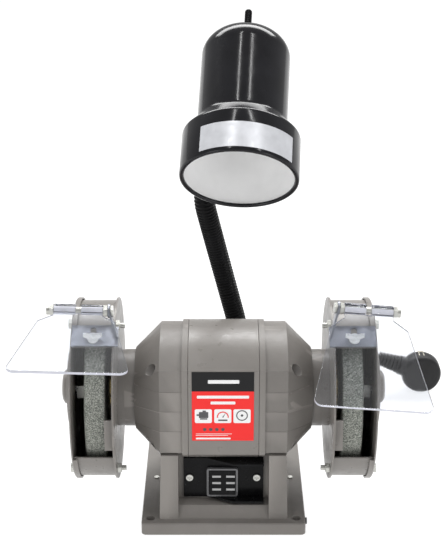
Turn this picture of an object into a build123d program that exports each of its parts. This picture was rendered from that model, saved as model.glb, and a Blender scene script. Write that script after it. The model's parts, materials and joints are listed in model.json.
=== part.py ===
from build123d import *
import os
from math import cos, hypot, radians, sin, tan

# Bench grinder with a gooseneck lamp. Millimetres, +X right, +Y back, +Z up.
# Everything is modelled about the floor point below the middle of the spindle,
# and saved about the middle of the base's bolt pattern, on the floor.

# ---- driving dimensions -------------------------------------------------------------
SPINDLE_Z = 100.0          # spindle axis above the floor
BOLT_CENTRE_Y = 12.0       # middle of the base's bolt pattern, behind the spindle

# base plate and pedestal
BASE_HALF_X = 64.5
BASE_FRONT_Y = -61.0
BASE_BACK_Y = 85.0
BASE_RIM_Z = 1.0
BASE_TOP_Z = 11.0
BASE_SKIN = 3.5
BASE_CORNER = 4.0
BOLT_X = 57.5
BOLT_SPACING_Y = 129.0
BOLT_HOLE_R = 3.5
BOSS_R = 6.9
FOOT_R = 6.2
FOOT_HEIGHT = 3.5
PEDESTAL_TOP_Z = 63.0
PEDESTAL_TOP = (49.0, 46.5)        # half width, half depth
PEDESTAL_BOTTOM = (50.3, 54.0)
PEDESTAL_WALL = 3.5
RECESS_HALF_X = 35.5
RECESS_FLOOR_Z = 20.0
PANEL_Y = -38.0
PANEL_HALF_X = 31.5
PANEL_Z = (22.0, 56.6)
PANEL_LIP = 10.5
SWITCH_X = -1.0
SWITCH_Z = 36.2
SWITCH_HALF = (12.3, 12.4)
GLAND_X = -22.0
GLAND_Z = 30.0
GLAND_FACE_Y = 54.5
GLAND_R = (6.0, 9.5, 11.0)          # body, hexagon, casting boss
SWITCH_CUT = (11.5, 11.9)           # half sizes of the hole in the panel
SWITCH_BOX = (11.4, 11.8)
SWITCH_HOLLOW = (10.6, 10.9)
SWITCH_BACK_Y = -20.5
ROCKER_HALF = 10.2
ROCKER_FACE = 4.2                   # proud of the panel
ROCKER_TIP = -5.0                   # degrees, as it stands switched on
RIB_X = (-8.9, 2.1)
RIB_SIZE = (6.8, 1.6)
RIB_PITCH = 5.5
PANEL_THICKNESS = 2.0
PANEL_SCREW_X = (-26.8, 26.2)
PANEL_SCREW_Z = SWITCH_Z + 3.5
PANEL_SCREW_R = (1.4, 2.8)          # shank, head
CRADLE_SCREW_XY = (41.0, 20.0)
CRADLE_SCREW_Z = (41.0, 43.0, 55.0)
COVER_SCREW_X = (-55.3, 55.3)
COVER_Z = (4.6, 5.6)
NECK_HOLE_R = 6.2
CAPACITOR_R = 14.0
CAPACITOR_X = (-30.0, 26.0)

# motor: flat front and back, arched top and bottom
FLAT_HALF_Y = 45.0
CREASE_HALF_Z = 35.0
ARCH_HALF_Z = 51.6
SHELL_GROW = 1.6
SHELL_WALL = 2.5
SHELL_HALF_X = 27.4
LIP_X = 32.2
BELL_FLAT_X = 49.5
CONE_END_X = 69.5
CONE_END_R = 32.7
BOSS_END_X = 77.5
MOTOR_BOSS_R = 30.6
BEARING_X = (58.0, 69.0)
BEARING_R = (7.5, 10.2, 14.8, 17.5)
STACK_HALF_X = 22.0
STATOR_R = (26.3, 44.0)
ROTOR_R = 26.0
SHAFT_R = 8.5
TIE_BOLT_YZ = (36.0, 32.0)
TIE_BOLT_R = 2.0
TIE_SEAT_X = 50.5
TIE_POCKET_R = 4.6
TIE_HEAD = (3.6, 2.5)                # radius, height
TIE_NUT_R = 4.0
WINDING_R = (28.0, 41.0)
WINDING_END_X = 34.0
END_RING_R = (15.0, 25.0)
END_RING_X = 27.0
BALLS = 7
FAN_X = (36.0, 46.0)
FAN_R = (13.0, 32.0)
FAN_PLATE = 1.5
FAN_BLADES = 9
LABEL_X = (-24.4, 23.3)
LABEL_Z = (-23.3, 35.2)
LABEL_THICKNESS = 0.3
RIB_HEIGHTS = (-17.0, 0.0, 16.5)     # fine ribs across each end casting
RIB_PROUD = 0.25

# wheels and what clamps them
WHEEL_R = 62.5
WHEEL_X = (90.0, 106.0)
SEAT_R = 6.35
FLANGE_R = 22.0
SEAT_X = 86.3
FLANGE_X = (89.3, 106.7)             # where the flanges press on the blotters
BLOTTER_R = 25.0
NUT_X = (110.5, 116.5)
NUT_R = 10.4
SPINDLE_END_X = 119.0

# wheel guards
GUARD_WALL_X = (83.0, 84.5)
GUARD_R = 72.0
BAND_R = (68.5, 69.8)
BAND_END_X = 115.0
COVER_X = (115.2, 116.5)
COVER_RIM_X = 112.0
HUB_R = (28.9, 30.4)
OPENING_TOP = 50.6         # degrees above the horizontal, at the front
OPENING_BOTTOM = -25.4
GUARD_BOLT_R = 65.8
GUARD_BOLT_ANGLES = (72.0, -47.0, 187.5)
GUARD_SCREW_R = 24.0
GUARD_SCREW_X = (70.0, 79.0, 81.0)   # tip, under the head, head
GUARD_BOLT_SHANK_R = 2.0
GUARD_BOLT_NUT_X = (79.8, 83.0)
GUARD_BOLT_HEAD_X = (116.5, 119.3)
SPARK_TAB_X = 90.6                   # tab at the front of the inner guard, for a tool rest
SPARK_TAB_Y = (-67.5, -66.0)
SPARK_TAB_Z = (-21.0, 4.5)
REST_SLOT_Y = -60.5
REST_SLOT_Z = (-13.0, -2.0)
REST_SLOT_R = 2.6

# eye shields, on brackets at the top front of each guard
BRACKET_ANGLE = 54.5
BRACKET_R = (72.15, 73.65)
BRACKET_X = (80.0, 115.5)
BRACKET_V = (-6.2, 11.9)                       # up the guard from the clamp screw
BRACKET_SLOT = (-1.2, 7.8)
EAR_THICKNESS = 1.5
EAR_WIDTH = 10.4
EAR_FOOT_WIDTH = 16.8
CLAMP_X = 99.0
SHIELD_X = 110.0
SHIELD_ROD_YZ = (-33.0, 80.5)
SHIELD_LENGTH = 98.0
SHIELD_SHOULDER = 20.0
SHIELD_WIDTHS = (37.0, 58.0, 88.0)
SHIELD_NOTCH = 2.2
ROD_EAR_X = -23.0                              # the ear, along the rod from the shield's middle
SHIELD_THICKNESS = 2.0
SHIELD_ROD_R = 2.5
KNUCKLE_R = 4.6
ROD_NUT_R = 4.6
ROD_NUT = 2.8
WING = [(4.0, 1.8), (7.2, 4.6), (7.0, 7.2), (4.4, 7.4)]    # out from the screw, above the bracket
SHIELD_DROP = {"left": 3.8, "right": 23.4}     # degrees below the horizontal
SHIELD_LEAN = {"left": -1.5, "right": 4.5}      # degrees, outer end of the rod low

# lamp: mouth centre, then the axis from the mouth to the dome
MOUTH = Vector(11.1, -43.5, 287.1)
LAMP_AXIS = Vector(0.055, 0.723, 0.691).normalized()
SHADE_WALL = 1.2
SHADE_FLARE_R = 43.8
SHADE_BODY_R = 33.4
SHADE_STEPS = (34.3, 46.0, 105.0, 128.4)       # flare, shoulder, dome start, dome end
SHADE_LIP = (3.8, 2.5)                         # inward, along the axis
LABEL_SPAN = (3.3, 23.8)                       # along the axis
LABEL_ANGLES = (-41.0, 57.5)                   # round the axis from the front, to the right
STALK_R = 2.8
STALK_END = 148.5
HOLDER = (80.0, 122.0)                         # along the axis
HOLDER_R = (13.4, 19.0)
COLLAR_R = 10.2
COLLAR_LENGTH = 8.0
NECK_ENTRY = 72.0                              # along the lamp's axis
NECK_ENTRY_TURN = 25.0                         # degrees round the lamp, to the left
COLLAR_END = 38.0
NECK_R = 8.3
NECK_BORE_R = 5.5
NECK_GAP = 5.0
NECK_FOOT = Vector(13.5, 72.0, 19.0)
NECK_JOINTS = [Vector(13.5, 72.0, 60.0), Vector(13.3, 72.0, 118.0),
               Vector(-5.7, 56.0, 197.7), Vector(-15.9, 38.0, 245.0)]

# mains lead: 7 mm, 1.5 m long with the coil
CORD_R = 3.5
COIL_CENTRE = (20.0, 205.0)
COIL_R = (28.0, 49.0)
COIL_HEIGHT = 13.2
RELIEF_END_Y = 93.0
PLUG_RELIEF = Vector(147.0, 201.0, 32.4)
PLUG_CENTRE = Vector(187.4, 201.0, 18.7)
PLUG_R = 18.7
PLUG_HALF = 9.0                      # half the disc's thickness
PLUG_RELIEF_LENGTH = 21.0
PLUG_RELIEF_R = (6.2, 8.6)
PLUG_PIN_R = 2.4
PLUG_PIN_X = (-9.5, 9.5)
PLUG_PIN_LENGTH = 19.0
CORD_OUT = [(GLAND_X, RELIEF_END_Y, GLAND_Z), (GLAND_X, 118, 28), (GLAND_X, 147, 7.5),
            (GLAND_X, 182, CORD_R)]
CORD_TO_PLUG = [(50, 242, 3.6), (68, 233, 8), (86, 219, 22), (103, 208.5, 36),
                (122.4, 201.5, 40.3), tuple(PLUG_RELIEF)]

parts = {}


# ---- shapes used more than once -----------------------------------------------------
def box(x, y, z):
    """A block given by its low and high values along each axis."""
    return Pos(sum(x) / 2, sum(y) / 2, sum(z) / 2) * Box(x[1] - x[0], y[1] - y[0], z[1] - z[0])


def rod(start, end, radius):
    """A round bar from one point to another."""
    start, end = Vector(start), Vector(end)
    place = Plane(origin=start, z_dir=end - start)
    return place * Cylinder(radius, (end - start).length, align=(Align.CENTER, Align.CENTER, Align.MIN))


def hexagon(start, end, radius):
    """A six-sided bar from one point to another, as for nuts and bolt heads."""
    start, end = Vector(start), Vector(end)
    place = Plane(origin=start, z_dir=end - start)
    return place * extrude(RegularPolygon(radius, 6), (end - start).length)


def along_x(radius, x, y=0.0, z=SPINDLE_Z):
    """A round bar parallel to the spindle."""
    return rod((x[0], y, z), (x[1], y, z), radius)


def ring_x(radii, x, y=0.0, z=SPINDLE_Z):
    """A ring about an axis parallel to the spindle."""
    return along_x(radii[1], x, y, z) - along_x(radii[0], x, y, z)


def turned(profile):
    """A solid of revolution about the spindle, from (x, radius) points."""
    outline = make_face(Polyline(*[(x, 0, r) for x, r in profile], close=True))
    return Pos(0, 0, SPINDLE_Z) * revolve(outline, Axis.X)


def other_side(shape):
    return mirror(shape, about=Plane.YZ)


def both_sides(shape):
    return [shape, other_side(shape)]


def polar(radius, angle):
    """Y and Z at an angle above the horizontal, seen at the front of the spindle."""
    return -radius * cos(radians(angle)), SPINDLE_Z + radius * sin(radians(angle))


def bend_radii(name, points):
    """The largest bend at each corner of a path, with straight runs between."""
    points = [Vector(p) for p in points]
    radii = []
    for before, at, after in zip(points, points[1:], points[2:]):
        turn = radians((at - before).get_angle(after - at))
        run = min((at - before).length, (after - at).length)
        radii.append(0.45 * run / tan(turn / 2))
    print(name, "bend radii", [round(r) for r in radii])
    return radii


def tube(name, points, radius, bore=0.0):
    """A round tube along straight runs and tangent arcs."""
    path = FilletPolyline(*points, radius=bend_radii(name, points))
    section = Circle(radius)
    if bore:
        section -= Circle(bore)
    place = Plane(origin=points[0], z_dir=Vector(points[1]) - Vector(points[0]))
    solid = sweep(place * section, path=path)
    print(name, "length", round(path.length, 1))
    return solid


def save(name, *solids):
    """Keep one node: a solid, or a group of separate solids."""
    parts[name] = solids[0] if len(solids) == 1 else Compound(list(solids))


# ---- motor --------------------------------------------------------------------------
def motor_section(x, grow):
    """The motor's outline at one X: flat front and back, arched top and bottom."""
    y, z, top = FLAT_HALF_Y + grow, CREASE_HALF_Z + grow / 2, ARCH_HALF_Z + grow
    low, mid = SPINDLE_Z - z, SPINDLE_Z + z
    return make_face([
        Line((x, -y, low), (x, -y, mid)),
        ThreePointArc((x, -y, mid), (x, 0, SPINDLE_Z + top), (x, y, mid)),
        Line((x, y, mid), (x, y, low)),
        ThreePointArc((x, y, low), (x, 0, SPINDLE_Z - top), (x, -y, low)),
    ])


def motor_bar(x, grow):
    return extrude(motor_section(x[0], grow), amount=x[1] - x[0], dir=(1, 0, 0))


def round_section(x, radius):
    """A circle split where the motor's outline has its corners."""
    y = radius * FLAT_HALF_Y / hypot(FLAT_HALF_Y, CREASE_HALF_Z)
    z = radius * CREASE_HALF_Z / hypot(FLAT_HALF_Y, CREASE_HALF_Z)
    mid, corners = SPINDLE_Z, [(-y, z), (y, z), (y, -z), (-y, -z)]
    crowns = [(0, radius), (radius, 0), (0, -radius), (-radius, 0)]
    arcs = []
    for i, crown in enumerate(crowns):
        a, b = corners[i], corners[(i + 1) % 4]
        arcs.append(ThreePointArc((x, a[0], mid + a[1]), (x, crown[0], mid + crown[1]),
                                  (x, b[0], mid + b[1])))
    return make_face(arcs)


def tie_bolt_places():
    y, z = TIE_BOLT_YZ
    return [(sy * y, SPINDLE_Z + sz * z) for sy in (-1, 1) for sz in (-1, 1)]


def fine_ribs():
    """Low horizontal ribs on the end casting's front and back."""
    skin = motor_bar((LIP_X - 0.5, BELL_FLAT_X), RIB_PROUD)
    skin += loft([motor_section(BELL_FLAT_X, RIB_PROUD), round_section(CONE_END_X, CONE_END_R + RIB_PROUD)],
                 ruled=True)
    bars = [box((LIP_X, CONE_END_X - 0.2), (-60, 60), (SPINDLE_Z + z - 0.35, SPINDLE_Z + z + 0.35))
            for z in RIB_HEIGHTS]
    return skin & (bars[0] + bars[1] + bars[2])


def end_bell():
    """The right-hand cast end of the motor, with its bearing seat."""
    shape = motor_bar((SHELL_HALF_X + 0.2, LIP_X), SHELL_GROW)
    shape += motor_bar((LIP_X - 0.5, BELL_FLAT_X), 0.0)
    shape += loft([motor_section(BELL_FLAT_X, 0.0), round_section(CONE_END_X, CONE_END_R)], ruled=True)
    shape += fine_ribs()
    shape += along_x(MOTOR_BOSS_R, (CONE_END_X - 0.5, BOSS_END_X))
    shape -= motor_bar((SHELL_HALF_X, BELL_FLAT_X - 3.5), -4.0)
    shape -= turned([(45, 0), (45, 34), (BEARING_X[0], 22), (BEARING_X[0], 0)])
    shape -= along_x(BEARING_R[3], (BEARING_X[0] - 1, BEARING_X[1]))
    shape -= along_x(SHAFT_R + 1.5, (CONE_END_X - 2, BOSS_END_X + 1))
    for y, z in tie_bolt_places():
        shape -= along_x(TIE_BOLT_R + 0.2, (40, 60), y, z)
        shape -= along_x(TIE_POCKET_R, (TIE_SEAT_X, CONE_END_X), y, z)
    for place in guard_screw_places():
        shape -= along_x(1.6, (69, BOSS_END_X + 1), *place)
    for x, y in motor_screw_places():
        shape -= rod((abs(x), y, 40), (abs(x), y, 60), 1.6)
    return shape


def build_motor():
    shell = motor_bar((-SHELL_HALF_X, SHELL_HALF_X), SHELL_GROW)
    shell -= motor_bar((-SHELL_HALF_X - 1, SHELL_HALF_X + 1), SHELL_GROW - SHELL_WALL)
    save("motor_shell", shell)
    bell = end_bell()
    save("end_bell_right", bell)
    save("end_bell_left", other_side(bell))
    bolts = []
    for y, z in tie_bolt_places():
        end = TIE_SEAT_X + TIE_HEAD[1]
        bolt = along_x(TIE_BOLT_R, (-end, TIE_SEAT_X), y, z)
        bolt += along_x(TIE_HEAD[0], (TIE_SEAT_X, end), y, z)
        bolts.append(bolt + hexagon((-end, y, z), (-TIE_SEAT_X, y, z), TIE_NUT_R))
    save("tie_bolts", *bolts)
    save("stator_core", ring_x(STATOR_R, (-STACK_HALF_X, STACK_HALF_X)))
    save("stator_windings", *both_sides(ring_x(WINDING_R, (STACK_HALF_X + 0.1, WINDING_END_X))))
    front = -FLAT_HALF_Y - SHELL_GROW
    save("data_label", box(LABEL_X, (front - LABEL_THICKNESS, front), [SPINDLE_Z + z for z in LABEL_Z]))


# ---- spindle ------------------------------------------------------------------------
def build_spindle():
    steps = [(0, 0), (0, SHAFT_R), (BEARING_X[0], SHAFT_R), (BEARING_X[0], BEARING_R[0]),
             (SEAT_X, BEARING_R[0]), (SEAT_X, SEAT_R), (SPINDLE_END_X - 1, SEAT_R),
             (SPINDLE_END_X, SEAT_R - 1), (SPINDLE_END_X, 0)]
    half = turned(steps)
    save("spindle_shaft", half + other_side(half))
    rotor = ring_x((SHAFT_R, ROTOR_R), (-STACK_HALF_X, STACK_HALF_X))
    save("rotor", rotor + ring_x(END_RING_R, (-END_RING_X, END_RING_X)))
    save("bearing_inner_rings", *both_sides(ring_x(BEARING_R[:2], BEARING_X)), *bearing_balls())
    save("bearing_outer_rings", *both_sides(ring_x(BEARING_R[2:], BEARING_X)))
    save("cooling_fan", cooling_fan())
    wheel = ring_x((SEAT_R + 0.05, WHEEL_R), WHEEL_X) - along_x(16, (WHEEL_X[0] - 1, WHEEL_X[0] + 1))
    wheel = chamfer(wheel.edges().filter_by(GeomType.CIRCLE).filter_by(lambda e: e.radius > 60), 0.8)
    save("wheel_right", wheel)
    save("wheel_left", other_side(wheel))
    near, far = FLANGE_X
    save("wheel_blotters", *both_sides(ring_x((16.5, BLOTTER_R), (near, WHEEL_X[0]))),
         *both_sides(ring_x((SEAT_R + 0.1, BLOTTER_R), (WHEEL_X[1], far))))
    bore = SEAT_R + 0.02
    inner = turned([(SEAT_X, bore), (SEAT_X, 12), (near - 2.1, FLANGE_R), (near, FLANGE_R),
                    (near, 17), (near - 0.8, 15), (near - 0.8, bore)])
    outer = turned([(far, 17), (far, FLANGE_R), (far + 2.1, FLANGE_R), (NUT_X[0], 12),
                    (NUT_X[0], bore), (far + 0.8, bore), (far + 0.8, 15)])
    save("inner_flanges", *both_sides(inner))
    save("outer_flanges", *both_sides(outer))
    nut = hexagon((NUT_X[0], 0, SPINDLE_Z), (NUT_X[1], 0, SPINDLE_Z), NUT_R)
    nut -= along_x(bore, (NUT_X[0] - 1, NUT_X[1] + 1))
    save("wheel_nuts", *both_sides(nut))


def bearing_balls():
    """A ring of balls in each bearing, just clear of both rings."""
    ball_r = (BEARING_R[2] - BEARING_R[1]) / 2 - 0.05
    ring_r = (BEARING_R[2] + BEARING_R[1]) / 2
    balls = []
    for i in range(BALLS):
        y, z = polar(ring_r, i * 360 / BALLS)
        balls += both_sides(Pos(sum(BEARING_X) / 2, y, z) * Sphere(ball_r))
    return balls


def cooling_fan():
    """A hub with flat blades behind the right-hand winding."""
    start, end = FAN_X
    hub_r, rim_r = FAN_R
    fan = ring_x((SHAFT_R, hub_r), FAN_X) + ring_x((SHAFT_R, rim_r), (end - FAN_PLATE, end))
    blade = box((start, end - FAN_PLATE / 2), (-0.8, 0.8), (hub_r - 2, rim_r - 1))
    for i in range(FAN_BLADES):
        fan += Pos(0, 0, SPINDLE_Z) * Rot(i * 360 / FAN_BLADES, 0, 0) * blade
    return fan


# ---- base ---------------------------------------------------------------------------
def bolt_places():
    return [(sx * BOLT_X, BOLT_CENTRE_Y + sy * BOLT_SPACING_Y / 2) for sx in (-1, 1) for sy in (-1, 1)]


def motor_screw_places():
    x, y = CRADLE_SCREW_XY
    return [(sx * x, sy * y) for sx in (-1, 1) for sy in (-1, 1)]


def pedestal_block(inset, low, high):
    """The pedestal's tapered block, or the hollow inside it."""
    drop = PEDESTAL_TOP_Z - BASE_TOP_Z

    def outline(z):
        share = (PEDESTAL_TOP_Z - z) / drop
        half = [t + (b - t) * share - inset for t, b in zip(PEDESTAL_TOP, PEDESTAL_BOTTOM)]
        return Pos(0, 0, z) * Rectangle(2 * half[0], 2 * half[1])

    return loft([outline(low), outline(high)], ruled=True)


def base_casting():
    """Base plate and pedestal in one hollow casting, with a cradle for the motor."""
    y_mid, y_size = (BASE_FRONT_Y + BASE_BACK_Y) / 2, BASE_BACK_Y - BASE_FRONT_Y
    plate = Pos(0, y_mid, 0) * extrude(RectangleRounded(2 * BASE_HALF_X, y_size, BASE_CORNER), BASE_TOP_Z)
    plate -= box((-BASE_HALF_X - 1, BASE_HALF_X + 1), (BASE_FRONT_Y - 1, BASE_BACK_Y + 1), (-1, BASE_RIM_Z))
    plate = chamfer(plate.faces().sort_by(Axis.Z)[-1].edges(), 0.8)
    pedestal = pedestal_block(0.0, BASE_TOP_Z - 1, PEDESTAL_TOP_Z)
    recess = box((-RECESS_HALF_X, RECESS_HALF_X), (-60, PANEL_Y + 2), (RECESS_FLOOR_Z, PEDESTAL_TOP_Z + 1))
    toe = make_face(Polyline((-RECESS_HALF_X, -47.5, RECESS_FLOOR_Z), (-RECESS_HALF_X, -56, RECESS_FLOOR_Z),
                             (-RECESS_HALF_X, -56, BASE_TOP_Z + 0.4), (-RECESS_HALF_X, -53.4, BASE_TOP_Z + 0.4),
                             close=True))
    recess += extrude(toe, amount=2 * RECESS_HALF_X, dir=(1, 0, 0))
    pedestal -= recess
    shape = plate + pedestal
    shape += rod((GLAND_X, 44, GLAND_Z), (GLAND_X, GLAND_FACE_Y, GLAND_Z), GLAND_R[2])
    hollow = pedestal_block(PEDESTAL_WALL, BASE_TOP_Z - BASE_SKIN, 43)
    hollow -= box((-70, 70), (-60, PANEL_Y + 2 + PEDESTAL_WALL), (0, 70))
    underside = box((-BASE_HALF_X + 3, BASE_HALF_X - 3), (BASE_FRONT_Y + 3, BASE_BACK_Y - 3),
                    (-1, BASE_TOP_Z - BASE_SKIN))
    shape -= hollow + underside
    for x, y in bolt_places():
        shape += rod((x, y, FOOT_HEIGHT), (x, y, BASE_TOP_Z), BOSS_R)
    for x, y in bolt_places():
        shape -= rod((x, y, 0), (x, y, FOOT_HEIGHT), FOOT_R + 0.2)
        shape -= rod((x, y, 0), (x, y, BASE_TOP_Z + 1), BOLT_HOLE_R)
    shape -= motor_bar((-LIP_X - 0.1, LIP_X + 0.1), SHELL_GROW + 0.05)
    shape -= motor_bar((-60, 60), 0.05)
    for x, y in motor_screw_places():
        shape -= rod((x, y, 30), (x, y, 60), 2.2)
    shape -= rod((GLAND_X, 40, GLAND_Z), (GLAND_X, 60, GLAND_Z), GLAND_R[0] + 0.1)
    shape -= switch_block([half + 0.1 for half in SWITCH_CUT], (PANEL_Y, -20))
    shape -= rod((NECK_FOOT.X, NECK_FOOT.Y, 0), (NECK_FOOT.X, NECK_FOOT.Y, BASE_TOP_Z + 1), NECK_HOLE_R)
    for x in PANEL_SCREW_X:
        shape -= rod((x, PANEL_Y, PANEL_SCREW_Z), (x, -20, PANEL_SCREW_Z), PANEL_SCREW_R[0] + 0.1)
    for x in COVER_SCREW_X:
        shape -= rod((x, BOLT_CENTRE_Y, 0), (x, BOLT_CENTRE_Y, 20), 1.3)
    return shape


def build_base():
    save("base_casting", base_casting())
    cover = box((-61, 61), (BASE_FRONT_Y + 3.5, BASE_BACK_Y - 3.5), COVER_Z)
    for x, y in bolt_places():
        cover -= rod((x, y, 0), (x, y, 12), BOSS_R + 0.5)
    cover -= rod((NECK_FOOT.X, NECK_FOOT.Y, 0), (NECK_FOOT.X, NECK_FOOT.Y, 12), NECK_HOLE_R)
    for x in COVER_SCREW_X:
        cover -= rod((x, BOLT_CENTRE_Y, 0), (x, BOLT_CENTRE_Y, 12), 1.3)
    save("bottom_cover", cover)
    screws = [rod((x, BOLT_CENTRE_Y, 3), (x, BOLT_CENTRE_Y, BASE_TOP_Z), 1.2)
              + rod((x, BOLT_CENTRE_Y, BASE_TOP_Z), (x, BOLT_CENTRE_Y, BASE_TOP_Z + 1), 2.0)
              for x in COVER_SCREW_X]
    save("bottom_cover_screws", *screws)
    feet = [rod((x, y, 0), (x, y, FOOT_HEIGHT), FOOT_R) - rod((x, y, -1), (x, y, 5), BOLT_HOLE_R)
            for x, y in bolt_places()]
    save("rubber_feet", *feet)
    save("base_side_plug", rod((BASE_HALF_X, -48, 6), (BASE_HALF_X + 1.4, -48, 6), 2.6))
    head, seat, tip = CRADLE_SCREW_Z
    screws = [rod((x, y, head), (x, y, seat), 4.2) + rod((x, y, seat), (x, y, tip), 1.5)
              for x, y in motor_screw_places()]
    save("motor_screws", *screws)
    save("run_capacitor", rod((CAPACITOR_X[0], 14, 27), (CAPACITOR_X[1], 14, 27), CAPACITOR_R))
    block = box((-40, -36), (-10, 14), (14, 34)) + box((-36, -33), (-8, 12), (18, 24))
    save("terminal_block", block)


def build_switch():
    """Switch panel with its two finger guards, the rocker switch and the screws."""
    low, high = PANEL_Z
    panel = box((-PANEL_HALF_X, PANEL_HALF_X), (PANEL_Y, PANEL_Y + PANEL_THICKNESS), (low, high))
    panel -= switch_block(SWITCH_CUT, (PANEL_Y - 1, PANEL_Y + PANEL_THICKNESS + 1))
    lip_y = PANEL_Y - PANEL_LIP
    for z in (low, high - 1.6):
        lip = make_face(Polyline((-13, PANEL_Y, z), (7.5, lip_y, z), (PANEL_HALF_X, lip_y, z),
                                 (PANEL_HALF_X, PANEL_Y, z), close=True))
        panel += extrude(lip, amount=1.6, dir=(0, 0, 1))
    for x in PANEL_SCREW_X:
        panel -= rod((x, PANEL_Y - 1, PANEL_SCREW_Z), (x, PANEL_Y + 3, PANEL_SCREW_Z), PANEL_SCREW_R[0] + 0.2)
    save("switch_panel", panel)
    body = switch_block(SWITCH_HALF, (PANEL_Y - 3, PANEL_Y))
    body = fillet(body.edges().filter_by(Axis.Y), 2.0)
    body += switch_block(SWITCH_BOX, (PANEL_Y - 0.5, SWITCH_BACK_Y))
    body -= switch_block(SWITCH_HOLLOW, (PANEL_Y - 4, -30))
    save("switch_body", body)
    face_y = PANEL_Y - ROCKER_FACE
    rocker = switch_block((ROCKER_HALF, ROCKER_HALF), (face_y, -33))
    width, height = RIB_SIZE
    for x in RIB_X:
        for row in (-1, 0, 1):
            z = SWITCH_Z + row * RIB_PITCH
            rocker += box((x, x + width), (face_y - 0.6, face_y + 0.2), (z - height / 2, z + height / 2))
    save("switch_rocker", Pos(0, -36, SWITCH_Z) * Rot(ROCKER_TIP, 0, 0) * Pos(0, 36, -SWITCH_Z) * rocker)
    save("panel_screws", *[panel_screw(x) for x in PANEL_SCREW_X])


def switch_block(half, y):
    """A block centred on the switch, from its half width and half height."""
    return box((SWITCH_X - half[0], SWITCH_X + half[0]), y, (SWITCH_Z - half[1], SWITCH_Z + half[1]))


def panel_screw(x):
    """Round-headed screw with a crossed slot."""
    shank_r, head_r = PANEL_SCREW_R
    z = PANEL_SCREW_Z
    screw = rod((x, PANEL_Y - 1.6, z), (x, PANEL_Y, z), head_r) + rod((x, PANEL_Y, z), (x, -28, z), shank_r)
    for long, high in ((1.9, 0.35), (0.35, 1.9)):
        screw -= box((x - long, x + long), (PANEL_Y - 2, PANEL_Y - 0.9), (z - high, z + high))
    return screw


# ---- wheel guards -------------------------------------------------------------------
def guard_screw_places():
    return [polar(GUARD_SCREW_R, angle) for angle in (45, 135, 225, 315)]


def opening_wedge(x):
    """The part of the guard's circle that stays open at the front."""
    far = 2 * GUARD_R
    top, bottom = polar(far, OPENING_TOP), polar(far, OPENING_BOTTOM)
    corners = [(x[0], 0, SPINDLE_Z), (x[0], *top), (x[0], -far, SPINDLE_Z), (x[0], *bottom)]
    return extrude(make_face(Polyline(*corners, close=True)), amount=x[1] - x[0], dir=(1, 0, 0))


def guard():
    """Right-hand inner guard: wall with a pressed hub, and the band round the wheel."""
    shape = ring_x((HUB_R[0], GUARD_R), GUARD_WALL_X)
    shape += ring_x(HUB_R, (BOSS_END_X, GUARD_WALL_X[1]))
    shape += ring_x((SHAFT_R + 2, HUB_R[1]), (BOSS_END_X, BOSS_END_X + 1.5))
    shape += ring_x(BAND_R, (GUARD_WALL_X[0], BAND_END_X)) - opening_wedge((GUARD_WALL_X[1], BAND_END_X + 1))
    shape += box((GUARD_WALL_X[0], SPARK_TAB_X), SPARK_TAB_Y, [SPINDLE_Z + z for z in SPARK_TAB_Z])
    slot_z = [SPINDLE_Z + z for z in REST_SLOT_Z]
    shape -= box((80, 90), (REST_SLOT_Y - REST_SLOT_R, REST_SLOT_Y + REST_SLOT_R), slot_z)
    for z in slot_z:
        shape -= along_x(REST_SLOT_R, (80, 90), REST_SLOT_Y, z)
    for angle in GUARD_BOLT_ANGLES:
        shape -= along_x(GUARD_BOLT_SHANK_R + 0.15, (80, 90), *polar(GUARD_BOLT_R, angle))
    for place in guard_screw_places():
        shape -= along_x(2.1, (76, 80), *place)
    clamp_hole = rod((CLAMP_X, *polar(60, BRACKET_ANGLE)), (CLAMP_X, *polar(75, BRACKET_ANGLE)), 2.1)
    return shape - clamp_hole


def guard_cover():
    """Right-hand outer cover, dished over the spindle's end."""
    inside, face = COVER_X
    shape = turned([(inside, GUARD_R - 1), (face - 1.0, GUARD_R), (face, GUARD_R - 1), (face, 36),
                    (122.3, 30), (123.0, 14), (126.3, 12.6), (128.0, 10), (128.0, 0),
                    (126.7, 0), (126.7, 9.3), (125.4, 11.2), (121.9, 12.6), (121.1, 29.2), (inside, 35)])
    rim = ring_x((GUARD_R - 1.3, GUARD_R), (COVER_RIM_X, inside + 0.3))
    shape += rim - opening_wedge((COVER_RIM_X - 1, inside))
    for angle in GUARD_BOLT_ANGLES:
        shape -= along_x(GUARD_BOLT_SHANK_R + 0.15, (110, 120), *polar(GUARD_BOLT_R, angle))
    return shape


def guard_bolts():
    """Three long bolts with nuts: they hold the outer cover to the inner guard."""
    bolts = []
    for angle in GUARD_BOLT_ANGLES:
        y, z = polar(GUARD_BOLT_R, angle)
        bolt = along_x(GUARD_BOLT_SHANK_R, (76, GUARD_BOLT_HEAD_X[0]), y, z)
        for (start, end), radius in ((GUARD_BOLT_HEAD_X, 4.0), (GUARD_BOLT_NUT_X, 4.2)):
            bolt += hexagon((start, y, z), (end, y, z), radius)
        bolts.append(bolt)
    return bolts


def build_guards():
    tip, seat, head = GUARD_SCREW_X
    screws = [along_x(1.5, (tip, seat), y, z) + along_x(3.4, (seat, head), y, z)
              for y, z in guard_screw_places()]
    for name, shape in (("guard", guard()), ("guard_cover", guard_cover())):
        save(name + "_right", shape)
        save(name + "_left", other_side(shape))
    for name, group in (("guard_bolts", guard_bolts()), ("guard_screws", screws)):
        save(name, *group, *[other_side(piece) for piece in group])


# ---- eye shields --------------------------------------------------------------------
def bracket_frame():
    """Local frame on the bracket: X along the spindle, Y up the guard, Z outward."""
    y, z = polar(1.0, BRACKET_ANGLE)
    normal = Vector(0, y, z - SPINDLE_Z)
    return Plane(origin=(0, 0, SPINDLE_Z), x_dir=(1, 0, 0), z_dir=normal)


def rod_point(side, x):
    """A point on the shield's rod, before mirroring."""
    return Vector((shield_place(side) * Pos(x, 0, 0)).position)


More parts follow.
